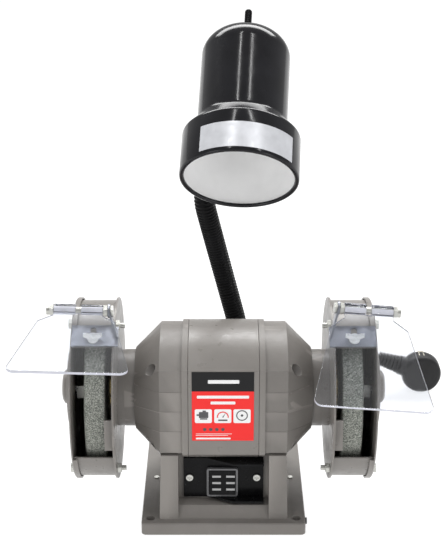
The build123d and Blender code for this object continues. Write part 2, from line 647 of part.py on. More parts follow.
def bracket(side):
    """Steel plate on the guard's top front, slotted, with a leaning ear for the shield's rod."""
    place = bracket_frame()
    plate = box(BRACKET_X, BRACKET_V, BRACKET_R)
    slot = box((CLAMP_X - 2.3, CLAMP_X + 2.3), BRACKET_SLOT, (60, 80))
    for end in BRACKET_SLOT:
        slot += rod((CLAMP_X, end, 60), (CLAMP_X, end, 80), 2.3)
    eye = rod_point(side, ROD_EAR_X)
    root = place.from_local_coords((BRACKET_X[0] + EAR_THICKNESS / 2, sum(BRACKET_V) / 2, BRACKET_R[0]))
    up = (eye - root).normalized()
    flat = Vector(1, 0, 0).cross(up).normalized()
    lean = Plane(origin=root, x_dir=flat, z_dir=flat.cross(up))
    reach = (eye - root).length
    foot, half = EAR_FOOT_WIDTH / 2, EAR_WIDTH / 2
    outline = make_face(Polyline((-foot, 0, 0), (foot, 0, 0), (half, reach, 0), (-half, reach, 0), close=True))
    strip = lean * extrude(outline, EAR_THICKNESS / 2, both=True)
    strip -= place * box((70, 120), (-30, 30), (55, BRACKET_R[0]))
    near, far = ROD_EAR_X - EAR_THICKNESS / 2, ROD_EAR_X + EAR_THICKNESS / 2
    for start, end in ((near, near - 8), (far, far + 8)):
        strip -= rod(rod_point(side, start), rod_point(side, end), half)
    ring = rod(rod_point(side, near), rod_point(side, far), half)
    shape = place * (plate - slot) + strip + ring
    return shape - rod(rod_point(side, near - 1), rod_point(side, far + 1), SHIELD_ROD_R + 0.3)


def shield_place(side):
    """Where the shield's own frame sits on the right-hand side, before mirroring."""
    y, z = SHIELD_ROD_YZ
    return Pos(SHIELD_X, y, SPINDLE_Z + z) * Rot(0, SHIELD_LEAN[side], 0)


def shield_rod(side):
    """Rod through the ear and the shield's knuckles: a head, a nut, and a capped nut outside."""
    half = SHIELD_WIDTHS[0] / 2
    cap = half + 0.4 + ROD_NUT
    shape = rod((ROD_EAR_X - 3.4, 0, 0), (cap + 2.6, 0, 0), SHIELD_ROD_R)
    for start, end in ((ROD_EAR_X - 3.4, ROD_EAR_X - 1.2), (ROD_EAR_X + 1.2, -half - 0.4),
                       (half + 0.4, cap)):
        shape += hexagon((start, 0, 0), (end, 0, 0), ROD_NUT_R)
    shape += rod((cap, 0, 0), (cap + 2.6, 0, 0), 4.0)
    return shield_place(side) * shape


def shield(side):
    """Clear shield: two knuckles on the rod, narrow shoulders and a wide lower edge."""
    hinge, shoulder, foot = [w / 2 for w in SHIELD_WIDTHS]
    t = SHIELD_THICKNESS / 2
    points = [(-hinge, -2), (-hinge, -10), (-shoulder, -SHIELD_SHOULDER), (-foot, -SHIELD_LENGTH),
              (foot, -SHIELD_LENGTH), (shoulder, -SHIELD_SHOULDER), (hinge, -10), (hinge, -2)]
    outline = make_face(Polyline(*points, close=True))
    plate = Pos(0, 0, -t) * extrude(outline, 2 * t)
    corners = plate.edges().filter_by(Axis.Z).sort_by(Axis.Y)[:2]
    plate = fillet(corners, 6)
    plate += rod((-hinge, 0, 0), (hinge, 0, 0), KNUCKLE_R)
    plate -= rod((-hinge - 1, 0, 0), (hinge + 1, 0, 0), SHIELD_ROD_R + 0.08)
    plate -= box((-SHIELD_NOTCH, SHIELD_NOTCH), (-6, 8), (-8, 8))
    return shield_place(side) * Rot(SHIELD_DROP[side], 0, 0) * plate


def wing_screw():
    """Clamp screw with two wings, square to the bracket."""
    place = bracket_frame()
    top = BRACKET_R[1]
    screw = rod((CLAMP_X, 0, 65.5), (CLAMP_X, 0, top + 4), 1.9)
    screw += rod((CLAMP_X, 0, top + 0.15), (CLAMP_X, 0, top + 2.2), 4.2)
    for side in (-1, 1):
        tip = [(CLAMP_X + side * out, 0, top + up) for out, up in WING]
        wing = Polyline((CLAMP_X, 0, top + 1.8), *tip, (CLAMP_X, 0, top + 4.8), close=True)
        screw += extrude(make_face(wing), amount=1.0, both=True)
    return place * screw


def build_shields():
    pieces = {"shield_bracket": bracket, "shield_rod": shield_rod,
              "eye_shield": shield, "wing_screw": lambda side: wing_screw()}
    for name, make in pieces.items():
        save(name + "_right", make("right"))
        save(name + "_left", other_side(make("left")))


# ---- lamp ---------------------------------------------------------------------------
LAMP = Plane(origin=MOUTH, x_dir=(1, 0, 0), z_dir=LAMP_AXIS)


def shade_outline(inset):
    """Half profile of the shade, as radius and distance from the mouth."""
    flare, shoulder, dome, end = SHADE_STEPS
    return [
        Line((SHADE_FLARE_R - inset, 0, 0), (SHADE_FLARE_R - inset, 0, flare)),
        Line((SHADE_FLARE_R - inset, 0, flare), (SHADE_BODY_R - inset, 0, shoulder)),
        Line((SHADE_BODY_R - inset, 0, shoulder), (SHADE_BODY_R - inset, 0, dome)),
        ThreePointArc((SHADE_BODY_R - inset, 0, dome),
                      ((SHADE_BODY_R - inset) * cos(radians(45)), 0,
                       dome + (end - dome - inset) * sin(radians(45))),
                      (0, 0, end - inset)),
        Line((0, 0, end - inset), (0, 0, 0)),
        Line((0, 0, 0), (SHADE_FLARE_R - inset, 0, 0)),
    ]


def shade_solid(inset):
    return revolve(make_face(shade_outline(inset)), Axis.Z)


def ring_z(radii, z):
    """A ring about the lamp's own axis."""
    return rod((0, 0, z[0]), (0, 0, z[1]), radii[1]) - rod((0, 0, z[0]), (0, 0, z[1]), radii[0])


def build_lamp():
    depth, length = SHADE_LIP
    shade = shade_solid(0.0) - shade_solid(SHADE_WALL)
    shade += ring_z((SHADE_FLARE_R - depth, SHADE_FLARE_R - 0.3), (0, length))
    stalk_hole = rod((0, 0, HOLDER[1] - 6), (0, 0, STALK_END), STALK_R + 0.3)
    save("lamp_shade", LAMP * (shade - stalk_hole))
    low, high = HOLDER
    holder = rod((0, 0, low), (0, 0, high), HOLDER_R[1]) - rod((0, 0, low - 1), (0, 0, high - 12), HOLDER_R[0])
    save("lamp_holder", LAMP * (holder - stalk_hole))
    save("lamp_switch_stalk", LAMP * rod((0, 0, high - 5.5), (0, 0, STALK_END), STALK_R))
    low, high = LABEL_SPAN
    label = ring_z((SHADE_FLARE_R + 0.05, SHADE_FLARE_R + 0.35), (low, high))
    edges = [Vector(sin(radians(a)), -cos(radians(a)), 0) * 80 for a in LABEL_ANGLES]
    fan = make_face(Polyline((0, 0, 0), edges[0], (0, -160, 0), edges[1], close=True))
    save("shade_label", LAMP * (label & extrude(fan, 60)))
    save("lamp_collar", collar())


def neck_entry():
    """Where the neck meets the collar, and the way it points there."""
    below = Vector(0, LAMP_AXIS.Z, -LAMP_AXIS.Y).normalized()
    out = below.rotate(Axis((0, 0, 0), LAMP_AXIS), NECK_ENTRY_TURN)
    return MOUTH + LAMP_AXIS * NECK_ENTRY + out * COLLAR_END, out


def collar():
    end, out = neck_entry()
    body = rod(end - out * COLLAR_LENGTH, end, COLLAR_R)
    return body - LAMP * shade_solid(-0.02)


def shortened(points, start_gap, end_gap):
    """The same path with its two ends pulled in."""
    points = [Vector(p) for p in points]
    first = (points[1] - points[0]).normalized()
    last = (points[-1] - points[-2]).normalized()
    return [points[0] + first * start_gap] + points[1:-1] + [points[-1] - last * end_gap]


def neck_section(points):
    """One straight stretch of the flexible neck, hollow for the lamp's lead."""
    start, end = points
    return rod(start, end, NECK_R) - rod(start, end, NECK_BORE_R)


def build_neck():
    x, y = NECK_FOOT.X, NECK_FOOT.Y
    socket = hexagon((x, y, BASE_TOP_Z), (x, y, BASE_TOP_Z + 5), 12.5)
    socket += rod((x, y, BASE_TOP_Z + 5), (x, y, NECK_FOOT.Z), 10.0)
    socket += rod((x, y, 2.5), (x, y, BASE_TOP_Z), 6.0)
    tail = neck_section(shortened([NECK_FOOT, NECK_JOINTS[0]], 0, NECK_GAP))
    save("neck_socket", socket + tail)
    nut = hexagon((x, y, 5.8), (x, y, 7.4), 9.5) - rod((x, y, 2), (x, y, 9), 6.1)
    save("neck_nut", nut)
    for i in range(3):
        ends = shortened([NECK_JOINTS[i], NECK_JOINTS[i + 1]], NECK_GAP, NECK_GAP)
        save(f"neck_section_{i + 1}", neck_section(ends))
    end, out = neck_entry()
    last = shortened([NECK_JOINTS[3], end + out * 24, end], NECK_GAP, 0)
    save("neck_section_4", tube("neck_section_4", last, NECK_R, NECK_BORE_R))


# ---- mains lead ---------------------------------------------------------------------
def build_cord():
    gland = rod((GLAND_X, 44, GLAND_Z), (GLAND_X, GLAND_FACE_Y, GLAND_Z), GLAND_R[0])
    gland += hexagon((GLAND_X, GLAND_FACE_Y, GLAND_Z), (GLAND_X, GLAND_FACE_Y + 4, GLAND_Z), GLAND_R[1])
    relief_length = RELIEF_END_Y - GLAND_FACE_Y - 4
    relief = Cone(6.5, 4.4, relief_length, align=(Align.CENTER, Align.CENTER, Align.MIN))
    gland += Plane(origin=(GLAND_X, GLAND_FACE_Y + 4, GLAND_Z), z_dir=(0, 1, 0)) * relief
    save("cord_gland", gland)
    first = tube("cord to coil", CORD_OUT, CORD_R)
    second = tube("cord to plug", CORD_TO_PLUG, CORD_R)
    save("power_cord", first, second)
    x, y = COIL_CENTRE
    coil = rod((x, y, 0), (x, y, COIL_HEIGHT), COIL_R[1]) - rod((x, y, -1), (x, y, 20), COIL_R[0])
    save("power_cord_coil", coil)


def build_plug():
    """Angled two-pin plug with side earth contacts, standing on its rim."""
    centre = PLUG_CENTRE
    down = (centre - PLUG_RELIEF).normalized()
    upright = (Align.CENTER, Align.CENTER, Align.MIN)
    relief = Cone(*PLUG_RELIEF_R, PLUG_RELIEF_LENGTH, align=upright)
    neck = Cone(PLUG_RELIEF_R[1] + 0.1, 12.5, 20, align=upright)
    body = rod(centre + Vector(0, -PLUG_HALF, 0), centre + Vector(0, PLUG_HALF, 0), PLUG_R)
    body += Plane(origin=PLUG_RELIEF + down * PLUG_RELIEF_LENGTH, z_dir=down) * neck
    body += Plane(origin=PLUG_RELIEF, z_dir=down) * relief
    back_y = centre.Y + PLUG_HALF
    for side in (-1, 1):
        span = sorted((centre.Z + side * (PLUG_R - 1.9), centre.Z + side * (PLUG_R + 0.3)))
        body -= box((centre.X - 4.5, centre.X + 4.5), (centre.Y - 4, back_y + 1), span)
    save("plug_body", body - box((centre.X - 60, centre.X + 60), (back_y, back_y + 21), (0, 60)))
    pins = [rod((centre.X + x, back_y, centre.Z), (centre.X + x, back_y + PLUG_PIN_LENGTH, centre.Z), PLUG_PIN_R)
            for x in PLUG_PIN_X]
    clips = [box((centre.X - 2.5, centre.X + 2.5), (centre.Y - 3, back_y - 1),
                 sorted((centre.Z + side * (PLUG_R - 1.8), centre.Z + side * (PLUG_R - 0.1))))
             for side in (-1, 1)]
    save("plug_contacts", *pins, *clips)


# ---- write every node ---------------------------------------------------------------
build_base()
build_switch()
build_motor()
build_spindle()
build_guards()
build_shields()
build_lamp()
build_neck()
build_cord()
build_plug()
os.makedirs("parts", exist_ok=True)
for node, shape in parts.items():
    export_step(Pos(0, -BOLT_CENTRE_Y, 0) * shape, f"parts/{node}.step")
print(len(parts), "nodes written")
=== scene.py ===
import bmesh
import bpy
import json
import math
from mathutils import Matrix, Vector


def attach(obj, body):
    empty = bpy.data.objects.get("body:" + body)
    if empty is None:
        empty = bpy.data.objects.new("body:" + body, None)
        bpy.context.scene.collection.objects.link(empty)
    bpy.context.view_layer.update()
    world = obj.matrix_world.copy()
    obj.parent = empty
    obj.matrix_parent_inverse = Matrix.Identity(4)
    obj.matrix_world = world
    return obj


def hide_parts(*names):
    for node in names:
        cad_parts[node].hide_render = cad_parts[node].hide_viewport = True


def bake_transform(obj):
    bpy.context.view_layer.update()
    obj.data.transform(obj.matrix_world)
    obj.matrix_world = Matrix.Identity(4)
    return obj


# Bench grinder with a gooseneck lamp. Lengths in mm are about the floor point below the
# middle of the spindle, as in part.py; at() turns them into the row's metres.

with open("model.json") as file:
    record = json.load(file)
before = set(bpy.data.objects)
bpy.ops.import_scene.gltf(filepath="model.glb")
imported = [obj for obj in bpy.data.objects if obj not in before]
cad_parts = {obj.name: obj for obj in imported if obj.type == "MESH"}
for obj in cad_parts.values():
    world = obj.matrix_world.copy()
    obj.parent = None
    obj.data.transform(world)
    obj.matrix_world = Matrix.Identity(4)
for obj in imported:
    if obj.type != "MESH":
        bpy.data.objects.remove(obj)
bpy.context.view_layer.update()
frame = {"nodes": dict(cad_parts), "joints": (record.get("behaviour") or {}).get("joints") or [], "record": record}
nodes = frame["nodes"]
record = frame["record"]
JOINTS = {joint["name"]: joint for joint in frame["joints"]}
BODY_OF = {node: body for body, members in record["behaviour"]["bodies"].items() for node in members}
SLOT_OF = {part["node"]: part["material_slot"] for part in record["subparts"]}

MM = 0.001
BOLT_CENTRE_Y = 12.0                    # the row's zero lies this far behind the spindle
MOUTH = Vector((11.1, -43.5, 287.1))    # middle of the lamp's open end
LAMP_AXIS = Vector(JOINTS["lamp_switch_turn"]["axis"]).normalized()


def at(x, y, z):
    """Millimetres about the spindle's floor point, as a place in the row."""
    return Vector((x, y - BOLT_CENTRE_Y, z)) * MM


def joint_place(name):
    """A joint's place in millimetres about the spindle's floor point."""
    return Vector(JOINTS[name]["pos_m"]) / MM + Vector((0, BOLT_CENTRE_Y, 0))


# ---- camera, light and floor ---------------------------------------------------------
CAMERA_PLACE = (-0.002, -1.0596, 0.6068)
CAMERA_TILT = 68.8      # degrees up from looking straight down
CAMERA_LENS = 96.67
SENSOR_WIDTH = 36.0

CENTRE = (0, 0, 0.14)
# Name, place, what the light faces, its width and height in metres, and its watts. The box
# behind stands where neither eye shield mirrors it; the strips draw the streaks on the lamp.
LIGHTS = (
    ("back_box", (0, 1.0, 1.36), CENTRE, (2.6, 0.5), 46.0),
    ("front_box", (-0.95, -1.0, 0.35), CENTRE, (0.5, 0.5), 2.4),
    ("front_box", (0.95, -1.0, 0.35), CENTRE, (0.5, 0.5), 2.4),
    ("left_strip", (-0.25, -0.28, 1.36), (-0.15, 0, 0.3), (0.04, 0.8), 2.6),
    ("right_strip", (0.50, -0.28, 1.30), (0.2, 0, 0.3), (0.03, 0.8), 2.6),
)
WORLD_STRENGTH = 0.5

FLOOR_HALF = 40.0
FLOOR_Z = -0.0002
FLOOR_GLOW = 0.93       # keeps the paper white round the object's soft shadow


def build_camera():
    """The one camera: in front, a little above, looking down at the wheels."""
    camera = bpy.data.objects.new("camera", bpy.data.cameras.new("camera"))
    camera.data.sensor_width = SENSOR_WIDTH
    camera.data.lens = CAMERA_LENS
    camera.location = CAMERA_PLACE
    camera.rotation_euler = (math.radians(CAMERA_TILT), 0, 0)
    bpy.context.scene.collection.objects.link(camera)
    bpy.context.scene.camera = camera


def area_light(name, place, target, size, power):
    """A rectangular soft light that faces a target."""
    light = bpy.data.lights.new(name, "AREA")
    light.shape = "RECTANGLE"
    light.size, light.size_y = size
    light.energy = power
    holder = bpy.data.objects.new(name, light)
    holder.location = place
    holder.rotation_euler = (Vector(target) - Vector(place)).to_track_quat("-Z", "Y").to_euler()
    bpy.context.scene.collection.objects.link(holder)


def build_lights():
    """The studio lights in an even white room."""
    for light in LIGHTS:
        area_light(*light)
    world = bpy.data.worlds.new("studio")
    world.use_nodes = True
    background = world.node_tree.nodes["Background"]
    background.inputs["Color"].default_value = (1, 1, 1, 1)
    background.inputs["Strength"].default_value = WORLD_STRENGTH
    bpy.context.scene.world = world
    bpy.context.scene.view_settings.view_transform = "Standard"


def build_floor():
    """A wide sheet of white paper."""
    bm = bmesh.new()
    half = FLOOR_HALF
    corners = [bm.verts.new((x, y, FLOOR_Z)) for x, y in
               ((-half, -half), (half, -half), (half, half), (-half, half))]
    bm.faces.new(corners)
    mesh = bpy.data.meshes.new("floor")
    bm.to_mesh(mesh)
    bm.free()
    floor = bpy.data.objects.new("floor", mesh)
    bpy.context.scene.collection.objects.link(floor)
    paper = surface("floor_white", (0.18, 0.18, 0.18), 0.7, vary=0.01, shine=0.1)
    shader = paper.node_tree.nodes["Principled BSDF"]
    shader.inputs["Emission Color"].default_value = (1, 1, 1, 1)
    shader.inputs["Emission Strength"].default_value = FLOOR_GLOW
    mesh.materials.append(paper)


# ---- materials -----------------------------------------------------------------------
WORN = (0.52, 0.58)         # pointiness at which an edge begins to show wear, and is fully worn
WORN_LIGHTER = 1.7
NOISE_ROUGHNESS = 0.55
GLOSS_CELLS = 2.3           # gloss varies in cells this much finer than colour does
GRAIN_STRENGTH = 0.6
FAINT_SHINE = 0.2
GRIT_CELLS = 1900           # abrasive grains per metre
GRIT_DARK, GRIT_PALE, GRIT_PORE = (0.13, 0.14, 0.125), (0.46, 0.47, 0.42), (0.07, 0.075, 0.07)
PLASTIC_IOR = 1.45
BAND_SCALE = 2 / 6.28       # the wave pattern's scale that gives one band to a metre
PRINT_EDGE = 0.05           # half the width in mm over which one printed colour turns to the next
LABEL_SPLIT_Z = 118.9


def shader_tree(name):
    """A new material: its node tree, its main shader and the row's own coordinates."""
    material = bpy.data.materials.new(name)
    material.use_nodes = True
    tree = material.node_tree
    shader = tree.nodes["Principled BSDF"]
    where = tree.nodes.new("ShaderNodeTexCoord").outputs["Object"]
    return material, tree, shader, where


def noise(tree, where, scale, detail=3.0):
    """A noise pattern whose scale is in cells per metre."""
    node = tree.nodes.new("ShaderNodeTexNoise")
    node.inputs["Scale"].default_value = scale
    node.inputs["Detail"].default_value = detail
    node.inputs["Roughness"].default_value = NOISE_ROUGHNESS
    tree.links.new(where, node.inputs["Vector"])
    return node.outputs["Fac"]


def remap(tree, value, low, high, start=0.3, end=0.7):
    """Stretch the values from start to end over the values from low to high."""
    node = tree.nodes.new("ShaderNodeMapRange")
    node.inputs["From Min"].default_value = start
    node.inputs["From Max"].default_value = end
    node.inputs["To Min"].default_value = low
    node.inputs["To Max"].default_value = high
    tree.links.new(value, node.inputs["Value"])
    return node.outputs["Result"]


def mixed(tree, factor, first, second):
    """A colour between two: each is a colour or another node's output."""
    node = tree.nodes.new("ShaderNodeMix")
    node.data_type = "RGBA"
    tree.links.new(factor, node.inputs["Factor"])
    for socket, value in ((node.inputs[6], first), (node.inputs[7], second)):
        if isinstance(value, tuple):
            socket.default_value = (*value, 1)
        else:
            tree.links.new(value, socket)
    return node.outputs[2]


def shade(colour, factor):
    """A colour made lighter or darker."""
    return tuple(min(1.0, c * factor) for c in colour)


def bumped(tree, shader, height, strength, depth_mm):
    """Raise the surface by a pattern."""
    node = tree.nodes.new("ShaderNodeBump")
    node.inputs["Strength"].default_value = strength
    node.inputs["Distance"].default_value = depth_mm * MM
    tree.links.new(height, node.inputs["Height"])
    tree.links.new(node.outputs["Normal"], shader.inputs["Normal"])


def rough_between(tree, shader, pattern, low, high):
    """Roughness that wanders between two values."""
    tree.links.new(remap(tree, pattern, low, high), shader.inputs["Roughness"])


def surface(name, colour, rough, metal=0.0, vary=0.08, patch=60.0, grain=900.0, grain_mm=0.0,
            edge=0.0, shine=0.5, rough_vary=0.08):
    """A plain painted, moulded or plated surface: patchy colour and gloss, fine grain, worn edges."""
    material, tree, shader, where = shader_tree(name)
    shader.inputs["Metallic"].default_value = metal
    shader.inputs["Specular IOR Level"].default_value = shine
    patches = noise(tree, where, patch)
    tint = mixed(tree, remap(tree, patches, 0, 1), shade(colour, 1 - vary), shade(colour, 1 + vary))
    if edge:
        rim = tree.nodes.new("ShaderNodeNewGeometry").outputs["Pointiness"]
        tint = mixed(tree, remap(tree, rim, 0, edge, *WORN), tint, shade(colour, WORN_LIGHTER))
    tree.links.new(tint, shader.inputs["Base Color"])
    gloss = noise(tree, where, patch * GLOSS_CELLS)
    rough_between(tree, shader, gloss, max(0.02, rough - rough_vary), rough + rough_vary)
    if grain_mm:
        bumped(tree, shader, noise(tree, where, grain, 2.0), GRAIN_STRENGTH, grain_mm)
    return material


def grit(name):
    """Bonded abrasive: pale and dark grains with open pores between them."""
    material, tree, shader, where = shader_tree(name)
    cells = tree.nodes.new("ShaderNodeTexVoronoi")
    cells.inputs["Scale"].default_value = GRIT_CELLS
    tree.links.new(where, cells.inputs["Vector"])
    grain = tree.nodes.new("ShaderNodeSeparateColor")
    tree.links.new(cells.outputs["Color"], grain.inputs["Color"])
    tone = mixed(tree, remap(tree, grain.outputs["Red"], 0, 1, 0.15, 0.9), GRIT_DARK, GRIT_PALE)
    pores = remap(tree, noise(tree, where, 1100, 2.0), 0.25, 1, 0.36, 0.5)
    tree.links.new(mixed(tree, pores, GRIT_PORE, tone), shader.inputs["Base Color"])
    shader.inputs["Roughness"].default_value = 0.9
    shader.inputs["Specular IOR Level"].default_value = FAINT_SHINE
    bumped(tree, shader, noise(tree, where, 1700, 3.0), 1.0, 0.35)
    return material


def clear_sheet(name, tint, rough):
    """Clear polycarbonate with faint handling marks."""
    material, tree, shader, where = shader_tree(name)
    shader.inputs["Base Color"].default_value = (*tint, 1)
    shader.inputs["Transmission Weight"].default_value = 1.0
    shader.inputs["IOR"].default_value = PLASTIC_IOR
    shader.inputs["Specular IOR Level"].default_value = FAINT_SHINE
    rough_between(tree, shader, noise(tree, where, 45, 4.0), rough, rough + 0.05)
    bumped(tree, shader, noise(tree, where, 30), 0.05, 0.2)
    return material


def banded(name, low, high, rough=0.35):
    """Two printed colours, one above the other, with a faint sheen of vinyl."""
    material, tree, shader, where = shader_tree(name)
    split = tree.nodes.new("ShaderNodeSeparateXYZ")
    tree.links.new(where, split.inputs["Vector"])
    start, end = (LABEL_SPLIT_Z - PRINT_EDGE) * MM, (LABEL_SPLIT_Z + PRINT_EDGE) * MM
    above = remap(tree, split.outputs["Z"], 0, 1, start, end)
    shader.inputs["Specular IOR Level"].default_value = FAINT_SHINE
    tree.links.new(mixed(tree, above, low, high), shader.inputs["Base Color"])
    rough_between(tree, shader, noise(tree, where, 180), rough - 0.06, rough + 0.06)
    bumped(tree, shader, noise(tree, where, 600), 0.1, 0.05)
    return material


def laminated(name, colour, pitch_mm, along, metal, rough):
    """Stacked sheets or wound wire: fine bands along one axis."""
    material, tree, shader, where = shader_tree(name)
    waves = tree.nodes.new("ShaderNodeTexWave")
    waves.bands_direction = along
    waves.inputs["Scale"].default_value = BAND_SCALE / (pitch_mm * MM)
    waves.inputs["Distortion"].default_value = 0.4
    tree.links.new(where, waves.inputs["Vector"])
    tint = mixed(tree, waves.outputs["Fac"], shade(colour, 0.6), shade(colour, 1.15))
    tree.links.new(tint, shader.inputs["Base Color"])
    shader.inputs["Metallic"].default_value = metal
    rough_between(tree, shader, noise(tree, where, 150), rough - 0.08, rough + 0.08)
    bumped(tree, shader, waves.outputs["Fac"], GRAIN_STRENGTH, 0.3)
    return material


PAINT = (0.194, 0.181, 0.168)
MATERIALS = {
    "casting_grey": surface("casting_grey_paint", PAINT, 0.42, shine=0.35, grain=700, grain_mm=0.10,
                            edge=0.55, vary=0.05),
    "sheet_grey": surface("sheet_grey_paint", PAINT, 0.34, shine=0.4, grain=420, grain_mm=0.05,
                          edge=0.35, vary=0.04),
    "zinc_steel": surface("zinc_plate", (0.50, 0.50, 0.47), 0.33, metal=1.0, vary=0.12, patch=220,
                          grain=1500, grain_mm=0.03, edge=0.2),
    "yellow_zinc": surface("yellow_zinc_plate", (0.82, 0.62, 0.24), 0.28, metal=1.0, vary=0.15, patch=260,
                           grain=1500, grain_mm=0.03),
    "steel": surface("ground_steel", (0.62, 0.62, 0.62), 0.25, metal=1.0, patch=300,
                     grain=2000, grain_mm=0.02),
    "laminations": laminated("electrical_steel", (0.34, 0.34, 0.36), 0.5, "X", 0.9, 0.45),
    "copper_windings": laminated("wound_copper", (0.62, 0.26, 0.10), 0.9, "Z", 0.8, 0.35),
    "wheel_grit": grit("abrasive_grit"),
    "blotter_paper": surface("blotter_card", (0.62, 0.58, 0.46), 0.9, patch=120, grain=1800, grain_mm=0.05),
    "black_plastic": surface("black_moulding", (0.006, 0.006, 0.0065), 0.24, vary=0.3,
                             grain=1600, grain_mm=0.008, shine=0.12),
    "lamp_black": surface("black_enamel", (0.009, 0.009, 0.011), 0.14, vary=0.2, grain=160, grain_mm=0.02,
                          shine=0.25, rough_vary=0.03),
    "neck_black": surface("neck_sleeve", (0.006, 0.006, 0.0065), 0.34, vary=0.3,
                          grain=1500, grain_mm=0.03, shine=0.12),
    "porcelain": surface("glazed_holder", (0.80, 0.78, 0.72), 0.2, vary=0.03, grain=300, grain_mm=0.03),
    "clear_shield": clear_sheet("clear_sheet", (0.90, 0.92, 0.96), 0.01),
    "label_red": banded("label_print", (0.90, 0.035, 0.033), (0.012, 0.012, 0.013)),
    "label_silver": surface("silver_vinyl", (0.60, 0.61, 0.64), 0.38, metal=0.35, vary=0.08, patch=90,
                            grain=900, grain_mm=0.02),
    "black_rubber": surface("black_rubber", (0.016, 0.016, 0.017), 0.5, vary=0.25, grain=1200, grain_mm=0.05,
                            shine=0.3),
    "plug_metal": surface("nickel_plate", (0.80, 0.77, 0.66), 0.3, metal=1.0, vary=0.12, patch=300,
                          grain=1500, grain_mm=0.02),
}
WHITE_ENAMEL = surface("white_enamel", (0.90, 0.90, 0.90), 0.45, vary=0.03, grain=300, grain_mm=0.03)
WHITE_INK = surface("white_ink", (0.88, 0.88, 0.88), 0.4, vary=0.02, grain=900, grain_mm=0.01)
GREY_INK = surface("grey_ink", (0.07, 0.07, 0.075), 0.4, vary=0.1, grain=900, grain_mm=0.01)
RED_INK = surface("red_ink", (0.80, 0.05, 0.045), 0.4, vary=0.05, grain=900, grain_mm=0.01)
BRACKET_ZINC = surface("blue_zinc_plate", (0.24, 0.25, 0.28), 0.36, metal=0.85, vary=0.15, patch=120,
                       grain=900, grain_mm=0.03, edge=0.3)
# Near-black tie bolts: painted shade, standing for the shade that fills their pockets in the end bells.
BOLT_PAINTED_SHADE = surface("bolt_painted_shade", (0.05, 0.05, 0.05), 0.5, metal=0.8, vary=0.2, grain=1500, grain_mm=0.03)
BEZEL_GREY = surface("smoked_bezel", (0.13, 0.13, 0.135), 0.22, vary=0.15, grain=1200, grain_mm=0.02)
# Paler grey for the rocker's raised ribs: a painted highlight on their tops, as the ribs are moulded in the
# rocker's own black.
RIB_HIGHLIGHT = surface("rocker_rib_highlight", (0.42, 0.42, 0.42), 0.4, vary=0.15, grain=1200, grain_mm=0.02)
WING_ZINC = surface("bright_zinc", (0.86, 0.87, 0.87), 0.3, vary=0.1, grain=300, grain_mm=0.01)
# Pale opaque colour for the shields' cut edges: a painted highlight, for light running out of the sheet's edges.
SHIELD_EDGE_HIGHLIGHT = surface("cut_edge_highlight", (0.60, 0.61, 0.68), 0.3, vary=0.1, patch=120, grain=800, grain_mm=0.02)


# ---- ways of making pieces -----------------------------------------------------------
def keep(name, mesh, body, slot, *materials, covers=()):
    """Put a finished mesh in the scene, riding on its body and standing for CAD nodes."""
    piece = bpy.data.objects.new(name, mesh)
    bpy.context.scene.collection.objects.link(piece)
    for material in materials or (MATERIALS[slot],):
        mesh.materials.append(material)
    if body:
        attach(piece, body)
    if covers:
        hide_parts(*covers)
    return piece


def mesh_from(bm, name, sharp=35.0):
    """Smooth shading, with the corners past a given angle left sharp."""
    bmesh.ops.recalc_face_normals(bm, faces=bm.faces)
    for face in bm.faces:
        face.smooth = True
    for edge in bm.edges:
        edge.smooth = len(edge.link_faces) == 2 and edge.calc_face_angle() < math.radians(sharp)
    mesh = bpy.data.meshes.new(name)
    bm.to_mesh(mesh)
    bm.free()
    return mesh


def lathe(bm, profile, place, segments=96, sweep=None, offset=0.0):
    """Turn (radius, height) points in mm about place's Z axis; a closed loop makes a solid."""
    full = sweep is None
    sweep = sweep or 2 * math.pi
    count = segments if full else segments + 1
    rings = []
    for i in range(count):
        angle = offset + sweep * i / segments
        across, along = math.cos(angle), math.sin(angle)
        rings.append([bm.verts.new(place @ (Vector((r * across, r * along, h)) * MM)) for r, h in profile])
    for i in range(segments):
        a, b = rings[i], rings[(i + 1) % count]
        for j in range(len(profile)):
            k = (j + 1) % len(profile)
            bm.faces.new((a[j], b[j], b[k], a[k]))
    if not full:
        bm.faces.new(rings[0])
        bm.faces.new(list(reversed(rings[-1])))
    bmesh.ops.remove_doubles(bm, verts=bm.verts, dist=1e-7)
    bmesh.ops.dissolve_degenerate(bm, edges=bm.edges, dist=1e-8)


def aimed(origin, direction, side=Vector((1, 0, 0))):
    """A local frame whose Z points along direction."""
    z = Vector(direction).normalized()
    x = (side - z * side.dot(z)).normalized()
    y = z.cross(x)
    return Matrix.Translation(origin) @ Matrix((x, y, z)).transposed().to_4x4()


MOST_SIDES = 100            # faces with more corners are cut up, so that rounding keeps them whole
WELD = 2e-6                 # metres within which the CAD mesh's corners are one
FLAT_DEGREES = 0.8          # triangles that meet more flatly than this become one face
ROUNDED_DEGREES = 32.0      # edges sharper than this are rounded
SHARP_DEGREES = 60.0


def cad_copy(node):
    """The CAD node's mesh with its flat faces made whole again."""
    source = nodes[node].data
    bm = bmesh.new()
    spots = [bm.verts.new(v.co) for v in source.vertices]
    for polygon in source.polygons:
        try:
            bm.faces.new([spots[i] for i in polygon.vertices])
        except ValueError:      # the same triangle twice
            continue
    bmesh.ops.remove_doubles(bm, verts=bm.verts, dist=WELD)
    bmesh.ops.dissolve_limit(bm, angle_limit=math.radians(FLAT_DEGREES), verts=bm.verts, edges=bm.edges)
    bmesh.ops.triangulate(bm, faces=[face for face in bm.faces if len(face.verts) > MOST_SIDES])
    return bm


def softened(node, width, segments=2, materials=()):
    """The CAD node's own shape with its edges rounded over."""
    name = node + "_body"
    mesh = mesh_from(cad_copy(node), name, sharp=SHARP_DEGREES)
    piece = keep(name, mesh, BODY_OF[node], SLOT_OF[node], *materials, covers=(node,))
    bevel = piece.modifiers.new("edges", "BEVEL")
    bevel.width = width * MM
    bevel.segments = segments
    bevel.limit_method = "ANGLE"
    bevel.angle_limit = math.radians(ROUNDED_DEGREES)
    bevel.harden_normals = True
    bevel.miter_outer = "MITER_ARC"
    return piece


